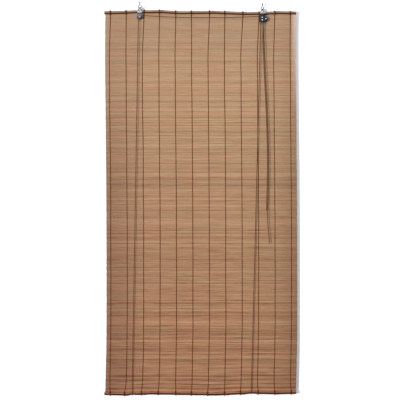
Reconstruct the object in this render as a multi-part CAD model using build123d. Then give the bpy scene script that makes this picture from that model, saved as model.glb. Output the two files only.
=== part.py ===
from build123d import *
from math import acos, atan2, cos, degrees, pi, radians, sin, sqrt, tan
import os

# A roll up window blind of split bamboo, in millimetres. It hangs from two screw hooks.
# The origin is midway between the hooks, level with the soffit that they are screwed into.
# +X is to the right seen from the room, -Y faces the room and +Z is up.

# Overall sizes
MAT_WIDTH = 797.0
RAIL_OVERHANG = 2.5
BLIND_HEIGHT = 1600.0
SOFFIT_TO_RAIL = 37.5

# Fits
CLEARANCE = 0.3
RUNNING_CLEARANCE = 0.05
RIVET_CLEARANCE = 0.02

# Canes: the top one is a little thicker at its left end
CANE_RADIUS_LEFT = 5.95
CANE_RADIUS_RIGHT = 5.5
KNUCKLE_SWELL = 0.5
KNUCKLE_WIDTH = 5.0
CANE_END_ROUNDING = 0.8
CANE_SIDES = 12
TOP_LEFT_END_RISE = 0.6
TOP_RIGHT_END_RISE = -1.0
BOTTOM_LEFT_END_RISE = -1.0
BOTTOM_RIGHT_END_RISE = 4.6

# Mat of bamboo splints
MAT_THICKNESS = 2.0
RIDGE_COUNT = 66
RIDGE_DEPTH = 0.45
RIDGE_SLOPE = 0.22
RIDGE_LEAN = 0.12
GAP_ROWS = 6
GAP_MARGIN = 3
GAP_HEIGHT = 1.2
GAP_FROM_THREAD = 6.0

# Warp threads that bind the splints, and the ties round the bottom cane
THREAD_COUNT = 12
THREAD_INSET = 21.0
THREAD_WIDTH = 2.0
THREAD_THICKNESS = 1.1
THREAD_GATHER = 20.0
THREAD_TURN_SIDES = 8

# Screw hooks of bent wire, each beside the third thread from its side
HOOK_THREAD = 3
HOOK_BESIDE_THREAD = 15.8
HOOK_WIRE_RADIUS = 1.5
HOOK_RING_RADIUS = 6.0
HOOK_NECK_RADIUS = 4.0
HOOK_RING_SWEEP = 305.0
HOOK_RING_STEPS = 12
HOOK_NECK_STEPS = 4
HOOK_WIRE_SIDES = 6
HOOK_SHANK = 9.0
HOOK_POINT = 4.0
HOOK_POINT_RADIUS = 0.3

# Hangers of steel strip, folded over the ring and round the cane
STRIP_THICKNESS = 1.0
HANGER_RISE = 22.5
HANGER_TOP_HALF_WIDTH = 2.2
HANGER_HALF_WIDTH = 9.5
HANGER_WINDOW_HALF_WIDTH = 4.6
HANGER_WINDOW_DEPTH = 8.5
TONGUE_HALF_WIDTH = 5.5
EAR_LENGTH = 9.0
EAR_HALF_WIDTH = 4.5

# Cords
CORD_RADIUS = 1.4
CORD_SIDES = 6
KNOT_RADIUS = 3.3
KNOT_HEIGHT = 5.0
KNOT_SIDES = 8
KNOT_CHAMFER = 1.2
LOOP_RISE = 10.0
LEFT_LOOP_OUTSIDE_HOOK = 31.6
RIGHT_LOOP_INSIDE_HOOK = 46.2

# Left pulley
PULLEY_DROP = 21.8
WHEEL_RADIUS = 11.0
WHEEL_GROOVE_RADIUS = 3.5
WHEEL_WIDTH = 6.2
WHEEL_FLANGE = 0.9
CASE_TOP_HALF_WIDTH = 10.0
CASE_SHOULDER = 6.0
CASE_CORNER = 3.0
CASE_END_RADIUS = 6.5
AXLE_RADIUS = 1.6
HEAD_RADIUS = 2.8
HEAD_HEIGHT = 1.1
HEAD_CROWN = 0.68
HEAD_SIDES = 12

# Cord lock on the right
LOCK_OFFSET = -1.5
LOCK_DROP = 18.1
LOCK_PLATE = 1.4
LOCK_HALF_WIDTH = 11.5
LOCK_ABOVE_PIN = 17.0
LOCK_BELOW_PIN = 20.5
LOCK_CORNER = 4.5
ROLLER_SPACING = 11.3
ROLLER_RADIUS = 5.3
ROLLER_GROOVE_RADIUS = 3.4
ROLLER_WIDTH = 7.0
ROLLER_FLOOR_HALF_WIDTH = 2.75
CORD_SPACING = 3.3
PIN_RADIUS = 1.5
CAM_OFFSET = 15.5
CAM_DROP = 6.0
CAM_RADIUS = 9.4
CAM_SHIFT_X = 0.7
CAM_SHIFT_Z = -2.2
CAM_WIDTH = 6.4
CAM_TEETH = 15
CAM_TOOTH_DEPTH = 0.8
CAM_TOOTHED_ANGLE = 170.0
CAM_EAR_RADIUS = 7.5
CAM_EAR_ROOT = 5.0
SIDE_PLAY = 0.2

# Sizes that follow
RAIL_LENGTH = MAT_WIDTH + 2 * RAIL_OVERHANG
THREAD_PITCH = (MAT_WIDTH - 2 * THREAD_INSET) / (THREAD_COUNT - 1)
HOOK_X = ((THREAD_COUNT + 1) / 2 - HOOK_THREAD) * THREAD_PITCH + HOOK_BESIDE_THREAD
LEFT_LOOP_X = -HOOK_X - LEFT_LOOP_OUTSIDE_HOOK
RIGHT_LOOP_X = HOOK_X - RIGHT_LOOP_INSIDE_HOOK
RAIL_Z = -SOFFIT_TO_RAIL
ROD_Z = RAIL_Z - (BLIND_HEIGHT - CANE_RADIUS_LEFT - CANE_RADIUS_RIGHT)
HALF_RAIL = RAIL_LENGTH / 2
LEVEL_HALF_WIDTH = HANGER_HALF_WIDTH + KNUCKLE_WIDTH
CORD_TO_GROOVE = CORD_RADIUS + CLEARANCE

# Where each cane bends: place along it, rise above its mean line, and whether a knuckle shows.
# The top cane is level under the hangers.
LEFT_HANGER_RISE = 4.8
RIGHT_HANGER_RISE = -1.9
TOP_CROOKS = [
    (-0.80 * HALF_RAIL, 2.2, True),
    (-HOOK_X - LEVEL_HALF_WIDTH, LEFT_HANGER_RISE, False),
    (-HOOK_X + LEVEL_HALF_WIDTH, LEFT_HANGER_RISE, False),
    (-0.41 * HALF_RAIL, 5.4, True),
    (-0.23 * HALF_RAIL, 0.6, False),
    (0.13 * HALF_RAIL, 2.2, True),
    (0.46 * HALF_RAIL, -2.8, True),
    (HOOK_X - LEVEL_HALF_WIDTH, RIGHT_HANGER_RISE, False),
    (HOOK_X + LEVEL_HALF_WIDTH, RIGHT_HANGER_RISE, True),
    (0.81 * HALF_RAIL, 1.1, False),
]
BOTTOM_CROOKS = [
    (-0.79 * HALF_RAIL, -3.6, True),
    (-0.67 * HALF_RAIL, -0.8, False),
    (-0.30 * HALF_RAIL, 0.2, True),
    (0.16 * HALF_RAIL, -3.0, True),
    (0.33 * HALF_RAIL, 0.6, False),
    (0.56 * HALF_RAIL, 4.2, True),
    (0.79 * HALF_RAIL, 2.4, True),
]


def cane_line(left_radius, right_radius, left_rise, right_rise, crooks):
    """Stations (x, rise, radius) along a cane, from its left end to its right end."""

    def radius_at(x):
        return left_radius + (right_radius - left_radius) * (x + HALF_RAIL) / RAIL_LENGTH

    left_end = radius_at(-HALF_RAIL)
    right_end = radius_at(HALF_RAIL)
    stations = [
        (-HALF_RAIL, left_rise, left_end - CANE_END_ROUNDING),
        (-HALF_RAIL + CANE_END_ROUNDING, left_rise, left_end),
    ]
    for x, rise, knuckle in sorted(crooks):
        radius = radius_at(x)
        if knuckle:
            stations.append((x - KNUCKLE_WIDTH / 2, rise, radius))
            stations.append((x, rise, radius + KNUCKLE_SWELL))
            stations.append((x + KNUCKLE_WIDTH / 2, rise, radius))
        else:
            stations.append((x, rise, radius))
    stations.append((HALF_RAIL - CANE_END_ROUNDING, right_rise, right_end))
    stations.append((HALF_RAIL, right_rise, right_end - CANE_END_ROUNDING))
    return stations


def cane_at(stations, x):
    """Rise and radius of a cane at x."""
    for (x0, rise0, radius0), (x1, rise1, radius1) in zip(stations, stations[1:]):
        if x0 <= x <= x1:
            share = (x - x0) / (x1 - x0)
            return rise0 + share * (rise1 - rise0), radius0 + share * (radius1 - radius0)
    raise ValueError(f"the cane doesn't reach x = {x}")


def wrap_radius(stations, x, half_width):
    """Inner radius of a band round a cane at x that clears it over the band's whole width."""
    middle, _ = cane_at(stations, x)
    reach = 0.0
    for share in (-1.0, -0.5, 0.0, 0.5, 1.0):
        rise, radius = cane_at(stations, x + share * half_width)
        reach = max(reach, radius + abs(rise - middle))
    return reach + CLEARANCE


TOP_CANE = cane_line(
    CANE_RADIUS_LEFT, CANE_RADIUS_RIGHT, TOP_LEFT_END_RISE, TOP_RIGHT_END_RISE, TOP_CROOKS
)
BOTTOM_CANE = cane_line(
    CANE_RADIUS_RIGHT, CANE_RADIUS_LEFT, BOTTOM_LEFT_END_RISE, BOTTOM_RIGHT_END_RISE, BOTTOM_CROOKS
)


def cane(stations, axis_z):
    """A crooked cane of many sides: straight tapered lengths that meet at its knuckles."""
    rings = [
        Plane(origin=(x, 0, axis_z + rise), z_dir=(1, 0, 0)) * RegularPolygon(radius, CANE_SIDES)
        for x, rise, radius in stations
    ]
    return loft(rings, ruled=True)


def along_x(profile, x, width):
    """A profile drawn with its X to the far side (+Y) and its Y up, made width thick about x."""
    plane = Plane(origin=(x, 0, 0), x_dir=(0, 1, 0), z_dir=(1, 0, 0))
    return extrude(plane * profile, width / 2, both=True)


def along_y(profile, y_front, y_back):
    """A profile drawn as seen from the room, its X to the right and its Y up, from y_front to y_back."""
    plane = Plane(origin=(0, y_back, 0), x_dir=(1, 0, 0), z_dir=(0, -1, 0))
    return extrude(plane * profile, y_back - y_front)


def rod_along_y(x, z, radius, y_front, y_back):
    return along_y(Pos(x, z) * Circle(radius), y_front, y_back)


# Mat


def thread_places():
    return [-MAT_WIDTH / 2 + THREAD_INSET + i * THREAD_PITCH for i in range(THREAD_COUNT)]


TOP_EDGE_CLEARANCE = CLEARANCE + STRIP_THICKNESS + CLEARANCE
BOTTOM_EDGE_CLEARANCE = CLEARANCE + THREAD_THICKNESS + CLEARANCE


def mat_outline():
    """The mat seen from the room: its top and bottom edges follow the canes."""
    top = [
        (x, RAIL_Z + rise - radius - TOP_EDGE_CLEARANCE) for x, rise, radius in TOP_CANE[1:-1]
    ]
    bottom = [
        (x, ROD_Z + rise + radius + BOTTOM_EDGE_CLEARANCE) for x, rise, radius in BOTTOM_CANE[1:-1]
    ]
    return make_face(Polyline(*top, *reversed(bottom), close=True))


def mat_section(top_z, bottom_z):
    """Section of the mat: a sloped and flat ridge for the splints in front, a low one behind."""
    pitch = (top_z - bottom_z) / RIDGE_COUNT
    front = -MAT_THICKNESS / 2
    back = MAT_THICKNESS / 2
    valley = front + RIDGE_DEPTH
    front_points = []
    back_points = []
    for i in range(RIDGE_COUNT):
        ridge_top = top_z - i * pitch
        lean = RIDGE_LEAN * sin(2.4 * i)
        front_points.append((valley, ridge_top))
        front_points.append((front, ridge_top - (RIDGE_SLOPE + lean) * pitch))
        front_points.append((front, ridge_top - (1 - RIDGE_SLOPE + lean) * pitch))
        back_points.append((back - RIDGE_DEPTH, ridge_top))
        back_points.append((back, ridge_top - (0.5 + lean) * pitch))
    front_points.append((valley, bottom_z))
    back_points.append((back - RIDGE_DEPTH, bottom_z))
    return make_face(Polyline(*front_points, *reversed(back_points), close=True))


def mat():
    """The splints as one ridged wall, with rows of narrow gaps between the threads."""
    top_z = RAIL_Z + max(rise for _, rise, _ in TOP_CANE)
    bottom_z = ROD_Z + min(rise for _, rise, _ in BOTTOM_CANE)
    slab = along_x(mat_section(top_z, bottom_z), 0, MAT_WIDTH)
    outline = along_y(mat_outline(), -MAT_THICKNESS, MAT_THICKNESS)
    places = thread_places()
    pitch = (top_z - bottom_z) / RIDGE_COUNT
    ridge_span = RIDGE_COUNT - 2 * GAP_MARGIN
    gap = Box(THREAD_PITCH - 2 * GAP_FROM_THREAD, 2 * MAT_THICKNESS, GAP_HEIGHT)
    gaps = []
    for row in range(GAP_ROWS):
        ridge = round(GAP_MARGIN + ridge_span * row / (GAP_ROWS - 1))
        for left in places[:-1]:
            gaps.append(Pos(left + THREAD_PITCH / 2, 0, top_z - ridge * pitch) * gap)
    return (slab & outline) - gaps


# Warp threads


def thread_turn(radius):
    """A turn of thread as short flat lengths, one of them level on top, that clear a circle."""
    turn = RegularPolygon(radius / cos(pi / THREAD_TURN_SIDES), THREAD_TURN_SIDES)
    return Rot(0, 0, 180 / THREAD_TURN_SIDES) * turn


def band_outline(radius, low_half_width, drop):
    """A turn and a narrower bar below it, drawn round by one tight outline."""
    bar = Pos(0, -drop) * Rectangle(2 * low_half_width, THREAD_THICKNESS)
    return make_hull(thread_turn(radius).edges() + bar.edges())


def warp_thread(x):
    """One warp thread: down the mat's front, from over the top cane, and down its back."""
    rise, _ = cane_at(TOP_CANE, x)
    cane_z = RAIL_Z + rise
    inner = wrap_radius(TOP_CANE, x, THREAD_WIDTH / 2)
    mat_half = MAT_THICKNESS / 2 + CLEARANCE / 2
    outer_half = mat_half + THREAD_THICKNESS
    loop = band_outline(inner + THREAD_THICKNESS, outer_half, THREAD_GATHER)
    loop -= band_outline(inner, mat_half, THREAD_GATHER)
    rod_rise, _ = cane_at(BOTTOM_CANE, x)
    tie_top = wrap_radius(BOTTOM_CANE, x, THREAD_WIDTH / 2) + THREAD_THICKNESS + CLEARANCE
    low_z = ROD_Z + rod_rise + tie_top
    run_height = cane_z - THREAD_GATHER - low_z
    run = Pos((mat_half + outer_half) / 2, -THREAD_GATHER - run_height / 2)
    run *= Rectangle(THREAD_THICKNESS, run_height)
    profile = Pos(0, cane_z) * (loop + run + mirror(run, Plane.YZ))
    return along_x(profile, x, THREAD_WIDTH)


def bottom_tie(x):
    """A warp thread's turn round the bottom cane."""
    rise, _ = cane_at(BOTTOM_CANE, x)
    inner = wrap_radius(BOTTOM_CANE, x, THREAD_WIDTH / 2)
    turn = thread_turn(inner + THREAD_THICKNESS) - thread_turn(inner)
    return along_x(Pos(0, ROD_Z + rise) * turn, x, THREAD_WIDTH)


# Hooks and hangers


def hanger_rise(side_x):
    rise, _ = cane_at(TOP_CANE, side_x)
    return rise


def screw_hook(x):
    """A pointed shank, a bent neck and an open ring, of one wire that lies in the plane of the blind."""
    ring_z = RAIL_Z + hanger_rise(x) + HANGER_RISE
    both = HOOK_NECK_RADIUS + HOOK_RING_RADIUS
    neck_angle = acos(HOOK_NECK_RADIUS / both)
    neck_top = ring_z + both * sin(neck_angle)
    bends = []
    for i in range(HOOK_NECK_STEPS):
        at = neck_angle * i / HOOK_NECK_STEPS
        bends.append((HOOK_NECK_RADIUS * (cos(at) - 1), neck_top - HOOK_NECK_RADIUS * sin(at)))
    for i in range(HOOK_RING_STEPS + 1):
        at = pi - neck_angle + radians(HOOK_RING_SWEEP) * i / HOOK_RING_STEPS
        bends.append((HOOK_RING_RADIUS * cos(at), ring_z + HOOK_RING_RADIUS * sin(at)))
    path = Polyline(*[(x + across, 0, up) for across, up in bends])
    wire = Plane(origin=path @ 0, z_dir=path % 0) * RegularPolygon(HOOK_WIRE_RADIUS, HOOK_WIRE_SIDES)
    bent = sweep(wire, path=path, transition=Transition.RIGHT)
    shank_z = neck_top + HOOK_SHANK / 2
    shank = Pos(x, 0, shank_z) * Cylinder(HOOK_WIRE_RADIUS, HOOK_SHANK)
    point = Pos(x, 0, shank_z + HOOK_SHANK / 2 + HOOK_POINT / 2)
    point *= Cone(HOOK_WIRE_RADIUS, HOOK_POINT_RADIUS, HOOK_POINT)
    return bent + shank + point


def hanger_wrap(x):
    return wrap_radius(TOP_CANE, x, HANGER_HALF_WIDTH)


def hanger(x, pin_x, pin_drop, pin_radius):
    """A folded strip: over the hook's ring, round the cane, a tongue in front and an ear behind."""
    cane_z = RAIL_Z + hanger_rise(x)
    inner = hanger_wrap(x)
    outer = inner + STRIP_THICKNESS
    ring_curve = HOOK_RING_RADIUS - sqrt(HOOK_RING_RADIUS**2 - HANGER_TOP_HALF_WIDTH**2)
    fold_rise = HANGER_RISE - HOOK_RING_RADIUS + ring_curve
    fold_inner = HOOK_WIRE_RADIUS + CLEARANCE
    fold_outer = fold_inner + STRIP_THICKNESS
    fold = Pos(0, fold_rise)
    strip = make_hull(Circle(outer).edges() + (fold * Circle(fold_outer)).edges())
    strip -= make_hull(Circle(inner).edges() + (fold * Circle(fold_inner)).edges())
    strap = along_x(Pos(0, cane_z) * strip, x, 2 * HANGER_HALF_WIDTH)
    top = fold_rise + fold_outer
    front_view = Polyline(
        (-HANGER_TOP_HALF_WIDTH, top),
        (HANGER_TOP_HALF_WIDTH, top),
        (HANGER_TOP_HALF_WIDTH, fold_rise),
        (HANGER_HALF_WIDTH, outer),
        (HANGER_HALF_WIDTH, -outer),
        (-HANGER_HALF_WIDTH, -outer),
        (-HANGER_HALF_WIDTH, outer),
        (-HANGER_TOP_HALF_WIDTH, fold_rise),
        close=True,
    )
    window = Polyline(
        (0, outer + HANGER_WINDOW_DEPTH),
        (HANGER_WINDOW_HALF_WIDTH, outer),
        (-HANGER_WINDOW_HALF_WIDTH, outer),
        close=True,
    )
    outline = make_face(front_view) - make_face(window)
    strap &= along_y(Pos(x, cane_z) * outline, -outer, outer)
    tongue_low = Pos(pin_x - x, -pin_drop) * Circle(TONGUE_HALF_WIDTH)
    tongue_high = Pos(0, -inner / 2) * Rectangle(2 * TONGUE_HALF_WIDTH, inner)
    tongue = make_hull(tongue_low.edges() + tongue_high.edges())
    front = along_y(Pos(x, cane_z) * tongue, -outer, -inner)
    ear_root = outer - STRIP_THICKNESS / 2
    ear_length = EAR_LENGTH + STRIP_THICKNESS / 2
    ear = Pos(x, ear_root + ear_length / 2, cane_z)
    ear *= Box(2 * EAR_HALF_WIDTH, ear_length, STRIP_THICKNESS)
    cord_hole = Pos(x, ear_hole_y(x), cane_z)
    cord_hole *= Cylinder(CORD_RADIUS + CLEARANCE, 3 * STRIP_THICKNESS)
    pin_hole = rod_along_y(pin_x, cane_z - pin_drop, pin_radius + RIVET_CLEARANCE, -2 * outer, 0)
    return strap + front + ear - cord_hole - pin_hole


def ear_hole_y(x):
    return hanger_wrap(x) + STRIP_THICKNESS + EAR_LENGTH / 2


def cord_knot(x):
    """The stopper knot of a lift cord, on the ear of the hanger."""
    ear_top = RAIL_Z + hanger_rise(x) + STRIP_THICKNESS / 2
    knot = extrude(RegularPolygon(KNOT_RADIUS, KNOT_SIDES), KNOT_HEIGHT)
    levels = knot.edges().group_by(Axis.Z)
    knot = chamfer(levels[0] + levels[-1], KNOT_CHAMFER)
    return Pos(x, ear_hole_y(x), ear_top) * knot


# Left pulley

LEFT_X = -HOOK_X
LEFT_AXLE_Z = RAIL_Z + LEFT_HANGER_RISE - PULLEY_DROP
LEFT_FACE_Y = -hanger_wrap(LEFT_X) - STRIP_THICKNESS
LEFT_INNER_BACK = LEFT_FACE_Y - STRIP_THICKNESS
LEFT_INNER_FRONT = LEFT_INNER_BACK - WHEEL_WIDTH - 2 * SIDE_PLAY
LEFT_FRONT_Y = LEFT_INNER_FRONT - STRIP_THICKNESS
LEFT_WHEEL_Y = (LEFT_INNER_BACK + LEFT_INNER_FRONT) / 2


def rivet_head(y, height, crown):
    """A head of many sides on an axis along Y, from y forwards, with its front face a share of its size."""
    base = Plane(origin=(0, y, 0), z_dir=(0, -1, 0)) * RegularPolygon(HEAD_RADIUS, HEAD_SIDES)
    return extrude(base, height, taper=degrees(atan2((1 - crown) * HEAD_RADIUS, height)))


def rivet(x, z, radius, y_front, y_back):
    """A pin with a domed head in front and a flat one behind."""
    shaft = rod_along_y(0, 0, radius, y_front, y_back)
    dome = rivet_head(y_front, HEAD_HEIGHT, HEAD_CROWN)
    flat = rivet_head(y_back + HEAD_HEIGHT / 2, HEAD_HEIGHT / 2, 1)
    return Pos(x, 0, z) * (shaft + dome + flat)


def left_pulley_case():
    """A strip folded over the top of the wheel: two tapered cheeks with round ends."""
    bridge_top = WHEEL_RADIUS + CLEARANCE + STRIP_THICKNESS
    shoulder = Pos(0, bridge_top - CASE_SHOULDER / 2)
    shoulder *= Rectangle(2 * CASE_TOP_HALF_WIDTH, CASE_SHOULDER)
    shoulder = chamfer(shoulder.vertices().group_by(Axis.Y)[-1], CASE_CORNER)
    cheek = make_hull(Circle(CASE_END_RADIUS).edges() + shoulder.edges())
    cheek = Pos(LEFT_X, LEFT_AXLE_Z) * cheek
    back = along_y(cheek, LEFT_INNER_BACK, LEFT_FACE_Y)
    front = along_y(cheek, LEFT_FRONT_Y, LEFT_INNER_FRONT)
    bridge = Pos(LEFT_X, LEFT_AXLE_Z + bridge_top - STRIP_THICKNESS / 2)
    bridge *= Rectangle(2 * (CASE_TOP_HALF_WIDTH - CASE_CORNER), STRIP_THICKNESS)
    bridge = along_y(bridge, LEFT_FRONT_Y, LEFT_FACE_Y)
    hole_radius = AXLE_RADIUS + RIVET_CLEARANCE
    return back + front + bridge - rod_along_y(LEFT_X, LEFT_AXLE_Z, hole_radius, LEFT_FRONT_Y, 0)


def grooved_wheel(x, y, z, bore, outline):
    """A turned wheel on an axis along Y. The outline is its front half, from the rim to the middle."""
    half = [(bore, outline[0][1]), *outline]
    other_half = [(radius, -across) for radius, across in reversed(half)]
    wheel = revolve(make_face(Polyline(*half, *other_half, close=True)), Axis.Y)
    return Pos(x, y, z) * wheel


def left_wheel():
    outline = [
        (WHEEL_RADIUS, -WHEEL_WIDTH / 2),
        (WHEEL_RADIUS, WHEEL_FLANGE - WHEEL_WIDTH / 2),
        (WHEEL_GROOVE_RADIUS, -CORD_TO_GROOVE),
    ]
    return grooved_wheel(LEFT_X, LEFT_WHEEL_Y, LEFT_AXLE_Z, AXLE_RADIUS + RUNNING_CLEARANCE, outline)


def left_axle():
    tongue_back = LEFT_FACE_Y + STRIP_THICKNESS
    return rivet(LEFT_X, LEFT_AXLE_Z, AXLE_RADIUS, LEFT_FRONT_Y, tongue_back)


# Cord lock

LOCK_X = HOOK_X + LOCK_OFFSET
UPPER_Z = RAIL_Z + RIGHT_HANGER_RISE - LOCK_DROP
LOWER_Z = UPPER_Z - ROLLER_SPACING
CAM_X = LOCK_X + CAM_OFFSET
CAM_Z = UPPER_Z - CAM_DROP
RIGHT_FACE_Y = -hanger_wrap(HOOK_X) - STRIP_THICKNESS
LOCK_INNER_BACK = RIGHT_FACE_Y - LOCK_PLATE
LOCK_INNER_FRONT = LOCK_INNER_BACK - ROLLER_WIDTH - 2 * SIDE_PLAY
LOCK_FRONT_Y = LOCK_INNER_FRONT - LOCK_PLATE
ROLLER_Y = (LOCK_INNER_BACK + LOCK_INNER_FRONT) / 2


def lock_outline():
    """The lock's plate: a rounded body with an ear for the cam's pin."""
    height = LOCK_ABOVE_PIN + LOCK_BELOW_PIN
    body = Pos(0, (LOCK_ABOVE_PIN - LOCK_BELOW_PIN) / 2)
    body *= RectangleRounded(2 * LOCK_HALF_WIDTH, height, LOCK_CORNER)
    ear = Pos(CAM_OFFSET, -CAM_DROP) * Circle(CAM_EAR_RADIUS)
    root = Pos(LOCK_HALF_WIDTH / 2, -CAM_DROP) * Circle(CAM_EAR_RADIUS + CAM_EAR_ROOT)
    plate = body + make_hull(ear.edges() + root.edges())
    for place, radius in lock_pins():
        plate -= Pos(*place) * Circle(radius + RIVET_CLEARANCE)
    return Pos(LOCK_X, UPPER_Z) * plate


def lock_pins():
    """The lock's three pins, as places from the upper roller's axis and radii."""
    return [
        ((0, 0), PIN_RADIUS),
        ((0, -ROLLER_SPACING), PIN_RADIUS),
        ((CAM_OFFSET, -CAM_DROP), PIN_RADIUS),
    ]


def lock_back_plate():
    """The rear plate, with a flange over the top that spaces the front one."""
    plate = along_y(lock_outline(), LOCK_INNER_BACK, RIGHT_FACE_Y)
    flange_half = LOCK_HALF_WIDTH - LOCK_CORNER
    flange = Pos(LOCK_X, UPPER_Z + LOCK_ABOVE_PIN - LOCK_PLATE / 2)
    flange *= Rectangle(2 * flange_half, LOCK_PLATE)
    return plate + along_y(flange, LOCK_INNER_FRONT, LOCK_INNER_BACK)


def lock_front_plate():
    return along_y(lock_outline(), LOCK_FRONT_Y, LOCK_INNER_FRONT)


def lock_roller(z):
    """A roller that carries both cords side by side between its flanges."""
    outline = [
        (ROLLER_RADIUS, -ROLLER_WIDTH / 2),
        (ROLLER_GROOVE_RADIUS, -ROLLER_FLOOR_HALF_WIDTH),
    ]
    return grooved_wheel(LOCK_X, ROLLER_Y, z, PIN_RADIUS + RUNNING_CLEARANCE, outline)


def lock_cam():
    """An eccentric disc with teeth on the side that bites the cords."""
    toothed = []
    half_angle = CAM_TOOTHED_ANGLE / 2
    step = CAM_TOOTHED_ANGLE / CAM_TEETH
    root = CAM_RADIUS - CAM_TOOTH_DEPTH
    for i in range(CAM_TEETH):
        angle = 180 - half_angle + i * step
        for radius, turn in ((root, 0.0), (CAM_RADIUS, 0.35), (CAM_RADIUS, 0.6)):
            at = radians(angle + turn * step)
            toothed.append((radius * cos(at), radius * sin(at)))
    last = radians(180 + half_angle)
    toothed.append((root * cos(last), root * sin(last)))
    rim = ThreePointArc(toothed[-1], (root, 0), toothed[0])
    disc = make_face([Polyline(*toothed), rim])
    disc -= Pos(-CAM_SHIFT_X, -CAM_SHIFT_Z) * Circle(PIN_RADIUS + RUNNING_CLEARANCE)
    disc = Pos(CAM_X + CAM_SHIFT_X, CAM_Z + CAM_SHIFT_Z) * disc
    return along_y(disc, ROLLER_Y - CAM_WIDTH / 2, ROLLER_Y + CAM_WIDTH / 2)


# Cords


def cord_tube(name, points, wheel_corners):
    """A cord along straight runs and arcs: each arc as large as its runs allow, or the wheel's own."""
    corners = [Vector(*p) for p in points]
    radii = []
    for i in range(1, len(corners) - 1):
        before = corners[i] - corners[i - 1]
        after = corners[i + 1] - corners[i]
        half_turn = radians(before.get_angle(after)) / 2
        largest = 0.45 * min(before.length, after.length) / tan(half_turn)
        radii.append(wheel_corners.get(i, largest))
    path = FilletPolyline(*corners, radius=radii)
    section = Plane(origin=path @ 0, z_dir=path % 0) * RegularPolygon(CORD_RADIUS, CORD_SIDES)
    tube = sweep(section, path=path)
    share = tube.volume / (section.area * path.length)
    print(f"{name}: {path.length:.1f} mm, volume share {share:.4f}, smallest radius {min(radii):.1f} mm")
    return tube


def bottom_loop(name, x):
    """A lift cord's turn under the bottom cane, from front to back."""
    rise, _ = cane_at(BOTTOM_CANE, x)
    bend = wrap_radius(BOTTOM_CANE, x, CORD_RADIUS) + CORD_RADIUS
    z = ROD_Z + rise
    points = [
        (x, -bend, z + LOOP_RISE),
        (x, -bend, z - bend),
        (x, bend, z - bend),
        (x, bend, z + LOOP_RISE),
    ]
    return cord_tube(name, points, {1: 0.999 * bend, 2: 0.999 * bend})


def loop_end(x, side):
    """The upper end of a bottom loop, in front (-1) or behind (+1)."""
    rise, _ = cane_at(BOTTOM_CANE, x)
    bend = wrap_radius(BOTTOM_CANE, x, CORD_RADIUS) + CORD_RADIUS
    return (x, side * bend, ROD_Z + rise + LOOP_RISE)


LEFT_BEND = WHEEL_GROOVE_RADIUS + CORD_TO_GROOVE
LOCK_BEND = ROLLER_GROOVE_RADIUS + CORD_TO_GROOVE
LEFT_CORD_LOCK_Y = ROLLER_Y - CORD_SPACING / 2
RIGHT_CORD_LOCK_Y = ROLLER_Y + CORD_SPACING / 2
LEFT_CORD_TOP = (LEFT_X - LEFT_BEND, LEFT_WHEEL_Y, LEFT_AXLE_Z)
RIGHT_CORD_TOP = (LOCK_X - LOCK_BEND, RIGHT_CORD_LOCK_Y, UPPER_Z)

# The left cord crosses to the lock in a shallow sag: share of the way between the hooks, y,
# and drop below the rail's mean line
CROSSING = [
    (0.11, -12.2, 14.9),
    (0.27, -12.8, 18.9),
    (0.43, -13.2, 21.3),
    (0.59, -13.5, 21.7),
    (0.75, -13.8, 20.3),
    (0.934, LEFT_CORD_LOCK_Y, 17.0),
]
# Both cords hang down from the lock in front of the mat: place right of the hook, y,
# and drop below the upper roller
LEFT_TAIL = [
    (3.7, LEFT_CORD_LOCK_Y, 26.5),
    (5.4, -14.8, 102.5),
    (11.2, -14.2, 238.5),
    (19.2, -13.4, 386.5),
    (24.4, -12.7, 552.5),
    (24.6, -12.1, 677.5),
    (20.4, -11.6, 792.5),
    (22.2, -11.4, 872.5),
    (30.6, -11.5, 943.5),
]
RIGHT_TAIL = [
    (3.5, RIGHT_CORD_LOCK_Y, 26.5),
    (1.6, -11.2, 92.5),
    (7.7, -11.8, 238.5),
    (15.8, -10.9, 386.5),
    (20.9, -10.2, 552.5),
    (20.8, -10.9, 677.5),
    (16.3, -12.1, 804.5),
]


def tail_points(tail):
    return [(HOOK_X + right, y, UPPER_Z - drop) for right, y, drop in tail]


def wheel_corner_rise(bend, along, down):
    """How high above its axle a cord that comes straight up meets the line along which it leaves."""
    turn = pi / 2 + atan2(down, along)
    return bend * tan(turn / 2) + CLEARANCE


def left_pull_cord():
    crossing = [(LEFT_X + share * 2 * HOOK_X, y, RAIL_Z - drop) for share, y, drop in CROSSING]
    leave_x, _, leave_z = crossing[0]
    along = leave_x - (LEFT_X - LEFT_BEND)
    corner_rise = wheel_corner_rise(LEFT_BEND, along, LEFT_AXLE_Z + LEFT_BEND - leave_z)
    points = [
        LEFT_CORD_TOP,
        (LEFT_X - LEFT_BEND, LEFT_WHEEL_Y, LEFT_AXLE_Z + corner_rise),
        *crossing,
        (LOCK_X + LOCK_BEND, LEFT_CORD_LOCK_Y, UPPER_Z + LOCK_BEND + CLEARANCE),
        *tail_points(LEFT_TAIL),
    ]
    over_lock = len(crossing) + 2
    return cord_tube("left_pull_cord", points, {1: LEFT_BEND, over_lock: LOCK_BEND})


def right_pull_cord():
    over_left = (LOCK_X - LOCK_BEND, RIGHT_CORD_LOCK_Y, UPPER_Z + LOCK_BEND)
    over_right = (LOCK_X + LOCK_BEND, RIGHT_CORD_LOCK_Y, UPPER_Z + LOCK_BEND)
    points = [RIGHT_CORD_TOP, over_left, over_right, *tail_points(RIGHT_TAIL)]
    return cord_tube("right_pull_cord", points, {1: 0.99 * LOCK_BEND, 2: 0.99 * LOCK_BEND})


def lift_cord(name, top, loop_x, side):
    """A tight run of a lift cord, from its pulley or its knot to the bottom loop, with level ends."""
    run = Vector(*loop_end(loop_x, side)) - Vector(*top)
    print(f"{name}: {run.length:.1f} mm, straight")
    section = Pos(*top) * RegularPolygon(CORD_RADIUS, CORD_SIDES)
    return extrude(section, run.length, dir=run)


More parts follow.
